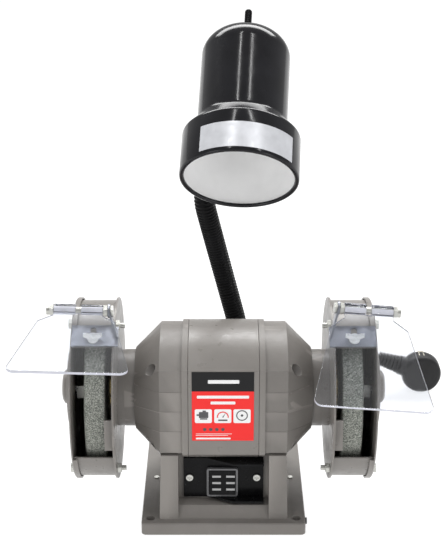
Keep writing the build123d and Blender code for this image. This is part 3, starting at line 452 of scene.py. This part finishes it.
# ---- mains lead ----------------------------------------------------------------------
CORD_R = 3.5
CORD_EXIT = (-22.0, 93.0, 30.0)
COIL_CENTRE = (20.0, 205.0)
COIL_TURNS = [(45.5, 3.5), (38.5, 3.5), (31.5, 3.5), (35.0, 9.6), (42.0, 9.6)]     # radius, height
TURN_POINTS = 12
COIL_START = math.radians(205)
LEAVING_POINTS = 4          # points of the last turn's way on to where the lead leaves it
PLUG_CENTRE = Vector((187.4, 201.0, 18.7))
RELIEF_START = Vector((147.0, 201.0, 32.4))


def coil_point(radius, turned, height):
    """A point of the coil, clockwise from where the coil starts."""
    angle = COIL_START - turned
    return COIL_CENTRE[0] + radius * math.cos(angle), COIL_CENTRE[1] + radius * math.sin(angle), height


def cord_route():
    """Out of the gland, down to the floor, five turns of coil, then up to the plug."""
    route = [CORD_EXIT, (-22, 118, 28), (-22, 140, 8), (-23.5, 168, 3.5)]
    step = 2 * math.pi / TURN_POINTS
    for turn, (radius, height) in enumerate(COIL_TURNS):
        next_radius, next_height = COIL_TURNS[min(turn + 1, len(COIL_TURNS) - 1)]
        for i in range(TURN_POINTS):
            share = i / TURN_POINTS
            climb = max(0.0, share * 3 - 2)     # over the last third of the turn
            route.append(coil_point(radius + (next_radius - radius) * share, i * step,
                                    height + (next_height - height) * climb))
    radius, height = COIL_TURNS[-1]
    route += [coil_point(radius, i * step, height) for i in range(LEAVING_POINTS)]
    return route + [(30, 249, 6.5), (50, 242, 4.2), (68, 233, 8), (86, 219, 22), (103, 208.5, 36),
                    (122.4, 201.5, 40.3), tuple(RELIEF_START)]


def build_cord():
    """The lead as a round curve along its route."""
    route = cord_route()
    curve = bpy.data.curves.new("mains_lead", "CURVE")
    curve.dimensions = "3D"
    curve.bevel_depth = CORD_R * MM
    curve.bevel_resolution = 6
    curve.resolution_u = 8
    curve.use_fill_caps = True
    spline = curve.splines.new("NURBS")
    spline.points.add(len(route) - 1)
    for point, place in zip(spline.points, route):
        point.co = (*at(*place), 1)
    spline.order_u = 3
    spline.use_endpoint_u = True
    lead = bpy.data.objects.new("mains_lead", curve)
    bpy.context.scene.collection.objects.link(lead)
    curve.materials.append(MATERIALS["black_rubber"])
    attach(lead, "base")
    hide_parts("power_cord", "power_cord_coil")
    return lead


def relief_profile(length):
    """Radius and height along the plug's relief: growing ribs, then a plain sleeve."""
    ribs, pitch, deep = 6, 3.4, 1.5
    profile = [(0, 0), (5.4, 0)]
    for i in range(ribs):
        crest, low = 6.3 + 0.35 * i, i * pitch
        profile += [(crest, low + 0.2), (crest, low + 2.0)]
        profile += [(crest - deep, low + 2.3), (crest - deep, low + pitch - 0.2)]
    end = ribs * pitch
    return profile + [(8.8, end), (9.0, end + 4), (8.8, end + 12), (7.5, length), (0, length)]


def build_plug():
    """Angled plug: round body with a rim, and a ribbed relief where the lead comes in."""
    body_profile = [(0, -9), (14.5, -9), (16.6, -8.4), (17.9, -7.0), (18.68, -4.8), (18.68, 5.0),
                    (18.2, 6.4), (17.2, 7.4), (17.2, 9.0), (0, 9.0)]
    bm = bmesh.new()
    lathe(bm, body_profile, aimed(at(*PLUG_CENTRE), (0, 1, 0)))
    body = keep("plug_disc", mesh_from(bm, "plug_disc"), "base", "black_rubber", covers=("plug_body",))
    down = PLUG_CENTRE - RELIEF_START
    bm = bmesh.new()
    place = aimed(at(*RELIEF_START), down, Vector((0, 1, 0)))
    lathe(bm, relief_profile(down.length - 2), place, segments=48)
    relief = keep("plug_relief", mesh_from(bm, "plug_relief"), "base", "black_rubber")
    return [body, relief, nodes["plug_contacts"]]


# ---- lamp ----------------------------------------------------------------------------
# Radii about the lamp's axis and heights above its mouth.
SHADE_BODY_R = 33.4
SHADE_WALL = 1.2
DOME_BASE = 105
DOME_RISE = 23.4
STALK_HOLE_R = 3.1
SHADE_LIP = [(40.3, 1.6), (40.6, 0.7), (41.3, 0.2), (42.1, 0.0), (43.0, 0.3), (43.6, 0.9), (43.8, 1.9)]
SHADE_SHOULDER = [(43.8, 33.5), (43.5, 34.8), (42.8, 35.6), (34.4, 44.6), (33.7, 45.9), (33.4, 47.8)]
SHADE_INSIDE = [(32.2, 46.4), (42.6, 33.8), (42.6, 2.9), (41.0, 2.7), (40.4, 2.3)]
ENAMEL_FROM = 2.6           # the white inside starts here, behind the lip
ENAMEL_MOST_R = 42.7
SHADE_LABEL_R = (43.85, 44.05)
SHADE_LABEL_SPAN = (3.3, 23.8)
SHADE_LABEL_ANGLES = (-131, -32.5)
STALK_R = 2.8
STALK_GROOVE_R = 2.45
STALK_RIBS = 10
STALK_PITCH = 1.75


def lamp_frame():
    """A local frame in the lamp's mouth whose Z runs up to its dome."""
    return aimed(at(*MOUTH), LAMP_AXIS)


def dome(radius, rise, angles):
    """Points of a dome on the shade's body, open where the stalk comes out."""
    points = []
    for degrees in angles:
        angle = math.radians(degrees)
        points.append((max(radius * math.cos(angle), STALK_HOLE_R), DOME_BASE + rise * math.sin(angle)))
    return points


def shade_profile():
    """Outside from the rolled lip up to the dome, then back down the inside."""
    angles = [7.5 * i for i in range(13)]
    outside = SHADE_LIP + SHADE_SHOULDER + dome(SHADE_BODY_R, DOME_RISE, angles)
    inside = dome(SHADE_BODY_R - SHADE_WALL, DOME_RISE - SHADE_WALL, reversed(angles))
    return outside + inside + SHADE_INSIDE


def build_shade():
    """The lamp's shade, black outside and white inside."""
    place = lamp_frame()
    bm = bmesh.new()
    lathe(bm, shade_profile(), place, segments=160)
    mesh = mesh_from(bm, "shade", sharp=50.0)
    keep("shade", mesh, "lamp_head", "lamp_black", MATERIALS["lamp_black"], WHITE_ENAMEL,
         covers=("lamp_shade",))
    back = place.inverted()
    for polygon in mesh.polygons:
        local = back @ polygon.center
        radius, height = math.hypot(local.x, local.y) / MM, local.z / MM
        faces_in = (back.to_3x3() @ polygon.normal).xy.dot(local.xy) < 0
        white = height > ENAMEL_FROM and faces_in and radius < ENAMEL_MOST_R
        polygon.material_index = 1 if white else 0


def build_shade_label():
    """The blank label round the front of the shade's flare."""
    (inner, outer), (low, high) = SHADE_LABEL_R, SHADE_LABEL_SPAN
    start, end = (math.radians(degrees) for degrees in SHADE_LABEL_ANGLES)
    bm = bmesh.new()
    lathe(bm, [(inner, low), (outer, low + 0.1), (outer, high - 0.1), (inner, high)], lamp_frame(),
          segments=48, sweep=end - start, offset=start)
    keep("shade_label_blank", mesh_from(bm, "shade_label_blank"), "lamp_head", "label_silver",
         covers=("shade_label",))


def build_stalk():
    """Ribbed knob of the lamp's switch, on top of the dome."""
    profile = [(0, 116.5), (2.2, 116.5), (2.2, 129.5)]
    for i in range(STALK_RIBS):
        low = 130 + i * STALK_PITCH
        profile += [(STALK_R, low), (STALK_R, low + 1.1)]
        profile += [(STALK_GROOVE_R, low + 1.3), (STALK_GROOVE_R, low + 1.7)]
    profile += [(2.7, 147.6), (2.1, 148.5), (0, 148.5)]
    bm = bmesh.new()
    lathe(bm, profile, lamp_frame(), segments=24)
    keep("switch_knob", mesh_from(bm, "switch_knob"), "lamp_switch", "black_plastic",
         covers=("lamp_switch_stalk",))


# ---- flexible neck -------------------------------------------------------------------
NECK_FOOT = Vector((13.5, 72.0, 19.0))
NECK_JOINTS = [joint_place(name) for name in
               ("neck_bend_low", "neck_lean", "neck_bend_middle", "neck_bend_top")]
NECK_RIB = 2.75
NECK_CREST = 8.3
NECK_VALLEY = 6.9
RIB_RADII = (NECK_VALLEY, NECK_VALLEY + 0.25, NECK_CREST - 0.2, NECK_CREST, NECK_CREST - 0.2,
             NECK_VALLEY + 0.25)
COLLAR_TURN = math.radians(25.0)    # the collar leans this far round the lamp, from straight below
COLLAR_ALONG = 72.0                 # from the mouth to where the collar points at the lamp's axis
COLLAR_OUT = 38.0                   # from the lamp's axis to the collar's end
STRAIGHT_END = 24.0                 # the neck's last stretch points into the collar


def neck_end():
    """Where the neck enters the collar, and the way the collar points."""
    below = Vector((0, LAMP_AXIS.z, -LAMP_AXIS.y)).normalized()
    out = Matrix.Rotation(COLLAR_TURN, 3, LAMP_AXIS) @ below
    return MOUTH + LAMP_AXIS * COLLAR_ALONG + out * COLLAR_OUT, out


def neck_path():
    """The neck's stops and its curve's control points, which pass near every joint."""
    end, out = neck_end()
    stops = [NECK_FOOT, *NECK_JOINTS, end + out * STRAIGHT_END, end]
    path = [NECK_FOOT]
    for i, (before, after) in enumerate(zip(stops, stops[1:])):
        path += [before.lerp(after, 0.3), before.lerp(after, 0.7)]
        if i < len(NECK_JOINTS):
            path.append(after)
    return path + [end]


def smooth_line(path):
    """Closely spaced points on a smooth curve along a path."""
    curve = bpy.data.curves.new("neck_line", "CURVE")
    curve.dimensions = "3D"
    curve.resolution_u = 64
    spline = curve.splines.new("NURBS")
    spline.points.add(len(path) - 1)
    for point, place in zip(spline.points, path):
        point.co = (*place, 1)
    spline.order_u = 4
    spline.use_endpoint_u = True
    holder = bpy.data.objects.new("neck_line", curve)
    mesh = bpy.data.meshes.new_from_object(holder)
    line = [v.co.copy() for v in mesh.vertices]
    bpy.data.objects.remove(holder)
    return line


def evenly_spaced(line, spacing):
    """Points on a line at one spacing, or the least bit more, from end to end."""
    total, lengths = 0.0, [0.0]
    for a, b in zip(line, line[1:]):
        total += (b - a).length
        lengths.append(total)
    steps = int(total / spacing)
    points, j = [], 0
    for i in range(steps + 1):
        want = total * i / steps
        while j < len(line) - 2 and lengths[j + 1] < want:
            j += 1
        share = (want - lengths[j]) / max(lengths[j + 1] - lengths[j], 1e-9)
        points.append(line[j].lerp(line[j + 1], min(1.0, share)))
    return points


def neck_skin(name, points, first, segments=40):
    """A ribbed tube through the points; first is where its ribs' pattern begins."""
    turns = [2 * math.pi * k / segments for k in range(segments)]
    bm = bmesh.new()
    side = Vector((1, 0, 0))
    rings = []
    for i, point in enumerate(points):
        before, after = points[max(i - 1, 0)], points[min(i + 1, len(points) - 1)]
        along = (after - before).normalized()
        side = (side - along * side.dot(along)).normalized()
        up = along.cross(side)
        radius = RIB_RADII[(first + i) % len(RIB_RADII)]
        rings.append([bm.verts.new(at(*(point + (side * math.cos(a) + up * math.sin(a)) * radius)))
                      for a in turns])
    for a, b in zip(rings, rings[1:]):
        for k in range(segments):
            following = (k + 1) % segments
            bm.faces.new((a[k], a[following], b[following], b[k]))
    for ring in (rings[0], rings[-1]):
        bm.faces.new(ring)
    return mesh_from(bm, name, sharp=70.0)


def build_neck():
    """One corrugated sleeve in four lengths, each lying across one joint."""
    points = evenly_spaced(smooth_line(neck_path()), NECK_RIB / len(RIB_RADII))
    stops = [NECK_FOOT, *NECK_JOINTS, neck_end()[0]]
    middles = [0]
    for a, b in zip(stops[1:], stops[2:-1]):
        centre = (a + b) / 2
        middles.append(min(range(len(points)), key=lambda i: (points[i] - centre).length))
    middles.append(len(points) - 1)
    for i, joint in enumerate(NECK_JOINTS):
        low, high = middles[i], middles[i + 1]
        mesh = neck_skin(f"neck_sleeve_{i + 1}", points[low:high + 1], low)
        piece = keep(f"neck_sleeve_{i + 1}", mesh, None, "neck_black", covers=(f"neck_section_{i + 1}",))
        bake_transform(piece)


HEX_STEPS = 72
HEX_CHAMFER = 0.6


def hexagon(bm, place, radius, low, high):
    """A nut: six flats, with its outer corners turned off at both ends."""
    flat = radius * math.cos(math.pi / 6)
    levels = [(low, flat), (low + HEX_CHAMFER, radius), (high - HEX_CHAMFER, radius), (high, flat)]
    rings = []
    for height, limit in levels:
        ring = []
        for i in range(HEX_STEPS):
            angle = 2 * math.pi * i / HEX_STEPS
            fold = (angle + math.pi / 6) % (math.pi / 3) - math.pi / 6
            r = min(flat / math.cos(fold), limit)
            spot = Vector((r * math.cos(angle), r * math.sin(angle), height)) * MM
            ring.append(bm.verts.new(place @ spot))
        rings.append(ring)
    for a, b in zip(rings, rings[1:]):
        for i in range(HEX_STEPS):
            k = (i + 1) % HEX_STEPS
            bm.faces.new((a[i], a[k], b[k], b[i]))
    bm.faces.new(list(reversed(rings[0])))
    bm.faces.new(rings[-1])


FOOT_NUT_R = 12.5
FOOT_NUT_Z = (11.0, 16.0)
FOOT_CAP = [(0, 15.5), (10.4, 15.5), (10.4, 17.6), (9.9, 18.6), (9.0, 19.2), (0, 19.2)]
FOOT_STUD = [(0, 2.5), (6.0, 2.5), (6.0, 11.5), (0, 11.5)]


def build_neck_foot():
    """The nut, cap and stud that hold the neck on the base."""
    place = aimed(at(NECK_FOOT.x, NECK_FOOT.y, 0), (0, 0, 1))
    bm = bmesh.new()
    hexagon(bm, place, FOOT_NUT_R, *FOOT_NUT_Z)
    lathe(bm, FOOT_CAP, place, segments=64)
    lathe(bm, FOOT_STUD, place, segments=48)
    keep("neck_foot", mesh_from(bm, "neck_foot"), "base", "neck_black", covers=("neck_socket",))


# ---- label on the motor --------------------------------------------------------------
LABEL_FACE = -46.9
INK_THICK = 0.09
INK_LAYER = 0.1             # each layer of ink stands this far in front of the one below
TILE_X = (-15.6, -0.6, 14.2)
TILE_Z = 97.9
TILE_HALF = (6.6, 5.9)
# Blank bars in place of the words: X from and to, Z from and to, corner radius.
TITLE_BARS = (((-12, 12), (125.6, 128.6), 0.7), ((-20.5, 19.5), (113.0, 115.4), 0.5),
              ((-10.0, 9.0), (108.0, 110.4), 0.5))
SMALL_BARS = (((-21.5, 6.5), (82.4, 82.8), 0.15), ((-21.5, 3.5), (81.1, 81.5), 0.15),
              ((-21.5, 5.5), (77.9, 79.3), 0.4))


def flat_shape(bm, points, y):
    """A thin printed shape from (x, z) points in mm, facing the front."""
    front = [bm.verts.new(at(x, y - INK_THICK, z)) for x, z in points]
    back = [bm.verts.new(at(x, y, z)) for x, z in points]
    bm.faces.new(front)
    bm.faces.new(list(reversed(back)))
    for i in range(len(points)):
        k = (i + 1) % len(points)
        bm.faces.new((front[i], back[i], back[k], front[k]))


def rounded(x, z, radius, corner_steps=6):
    """Outline of a rounded rectangle from its low and high X and Z."""
    points = []
    for cx, cz, start in ((x[1] - radius, z[1] - radius, 0), (x[0] + radius, z[1] - radius, 90),
                          (x[0] + radius, z[0] + radius, 180), (x[1] - radius, z[0] + radius, 270)):
        for i in range(corner_steps + 1):
            angle = math.radians(start + 90 * i / corner_steps)
            points.append((cx + radius * math.cos(angle), cz + radius * math.sin(angle)))
    return points


def circle_points(x, z, radius, angles):
    """Points of a circle about (x, z), one for each angle."""
    return [(x + radius * math.cos(a), z + radius * math.sin(a)) for a in angles]


def disc(x, z, radius, steps=32):
    """Outline of a dot."""
    return circle_points(x, z, radius, [2 * math.pi * i / steps for i in range(steps)])


def arc_band(x, z, radius, width, start, end, steps=20):
    """Outline of part of a ring."""
    angles = [math.radians(start + (end - start) * i / steps) for i in range(steps + 1)]
    return circle_points(x, z, radius, angles) + circle_points(x, z, radius - width, reversed(angles))


def motor_picture(x, z):
    """A motor from the side: its body, shaft, foot and terminal box."""
    blocks = (((-3.4, 3.8), (-1.6, 3.6), 0.6), ((-5.2, -3.5), (0.3, 1.7), 0.2),
              ((-2.6, 3.0), (-2.9, -1.9), 0.2), ((-0.6, 2.0), (3.7, 4.8), 0.2))
    return [("dark", rounded((x + left, x + right), (z + low, z + high), corner))
            for (left, right), (low, high), corner in blocks]


def dial_picture(x, z):
    """A speed dial: its scale, its needle and a bar below."""
    needle = [(x - 0.5, z - 0.8), (x + 0.3, z - 1.2), (x + 2.2, z + 2.6)]
    return [("red", arc_band(x, z - 0.6, 4.6, 0.9, -10, 190)), ("dark", needle),
            ("dark", rounded((x - 3.6, x + 3.6), (z - 4.1, z - 2.9), 0.3))]


def wheel_picture(x, z):
    """A grinding wheel and its bore."""
    return [("dark", arc_band(x, z + 0.6, 4.5, 0.8, 0, 359.9, 40)), ("dark", disc(x, z + 0.6, 1.0))]


def label_shapes():
    """Everything printed on the label, as ink, outline and layer."""
    shapes = [("white", rounded(*bar), 0) for bar in TITLE_BARS]
    half_x, half_z = TILE_HALF
    for x, picture in zip(TILE_X, (motor_picture, dial_picture, wheel_picture)):
        tile = rounded((x - half_x, x + half_x), (TILE_Z - half_z, TILE_Z + half_z), 1.3)
        shapes.append(("white", tile, 0))
        shapes += [(ink, outline, 1) for ink, outline in picture(x, TILE_Z)]
    shapes += [("dark", disc(-14.6 + 4.7 * i, 86.4, 1.35), 0) for i in range(4)]
    return shapes + [("white", rounded(*bar), 0) for bar in SMALL_BARS]


def build_label_print():
    """Blank bars where the words would be, three pictogram tiles and four dots."""
    shapes = label_shapes()
    for ink, material in (("white", WHITE_INK), ("dark", GREY_INK), ("red", RED_INK)):
        bm = bmesh.new()
        for colour, outline, layer in shapes:
            if colour == ink:
                flat_shape(bm, outline, LABEL_FACE - INK_LAYER * layer)
        keep(f"label_print_{ink}", mesh_from(bm, f"label_print_{ink}"), "base", "label_red", material)


# ---- everything else -----------------------------------------------------------------
ROCKER_TILT = 5.0           # degrees that the rocker is tipped at rest
RIB_FRONT = -6.35           # in the rocker's own frame, its ribs stand past this
FLAT_FACE = 0.9             # a face whose normal agrees this well with the sheet's is not its edge


def finish_nodes():
    """Give every CAD node its material, and round the edges of those that show, by so many mm."""
    for name, node in nodes.items():
        node.data.materials.clear()
        node.data.materials.append(MATERIALS[SLOT_OF[name]])
    # the tie bolts go near-black: painted shade for their shaded pockets
    nodes["tie_bolts"].data.materials[0] = BOLT_PAINTED_SHADE
    for node in ("base_casting", "end_bell_left", "end_bell_right"):
        softened(node, 0.9, 3)
    softened("motor_shell", 0.5)
    for side in ("left", "right"):
        softened("guard_" + side, 0.35)
        softened("guard_cover_" + side, 0.35)
        softened("shield_bracket_" + side, 0.3, materials=(BRACKET_ZINC,))
        softened("wing_screw_" + side, 0.35, materials=(WING_ZINC,))
        softened("wheel_" + side, 0.4)
    softened("switch_panel", 0.4)
    softened("panel_screws", 0.45, 3)
    softened("switch_body", 0.4, materials=(BEZEL_GREY,))
    softened("guard_bolts", 0.3)


def build_shields():
    """Clear shields, their cut edges painted a pale opaque colour: a painted highlight for light that runs out of
    the sheet.
    """
    materials = (MATERIALS["clear_shield"], SHIELD_EDGE_HIGHLIGHT)
    for side in ("left", "right"):
        piece = softened("eye_shield_" + side, 0.25, materials=materials)
        sheet = max(piece.data.polygons, key=lambda polygon: polygon.area).normal.copy()
        for polygon in piece.data.polygons:
            # faces other than the sheet's two flats take the painted edge highlight
            flat = abs(polygon.normal.dot(sheet)) > FLAT_FACE
            polygon.material_index = 0 if flat else 1


def build_rocker():
    """The rocker, its raised ribs painted paler than its face as a painted highlight."""
    piece = softened("switch_rocker", 0.25, materials=(MATERIALS["black_plastic"], RIB_HIGHLIGHT))
    pivot = Vector(JOINTS["rocker_tip"]["pos_m"])
    level = Matrix.Rotation(math.radians(ROCKER_TILT), 3, "X")
    for polygon in piece.data.polygons:
        local = level @ (polygon.center - pivot)
        polygon.material_index = 1 if local.y / MM < RIB_FRONT else 0


build_camera()
lead = build_cord()
plug_pieces = build_plug()
build_lights()
build_floor()
build_shade()
build_shade_label()
build_stalk()
build_neck()
build_neck_foot()
build_label_print()
finish_nodes()
build_shields()
build_rocker()

bpy.context.view_layer.update()
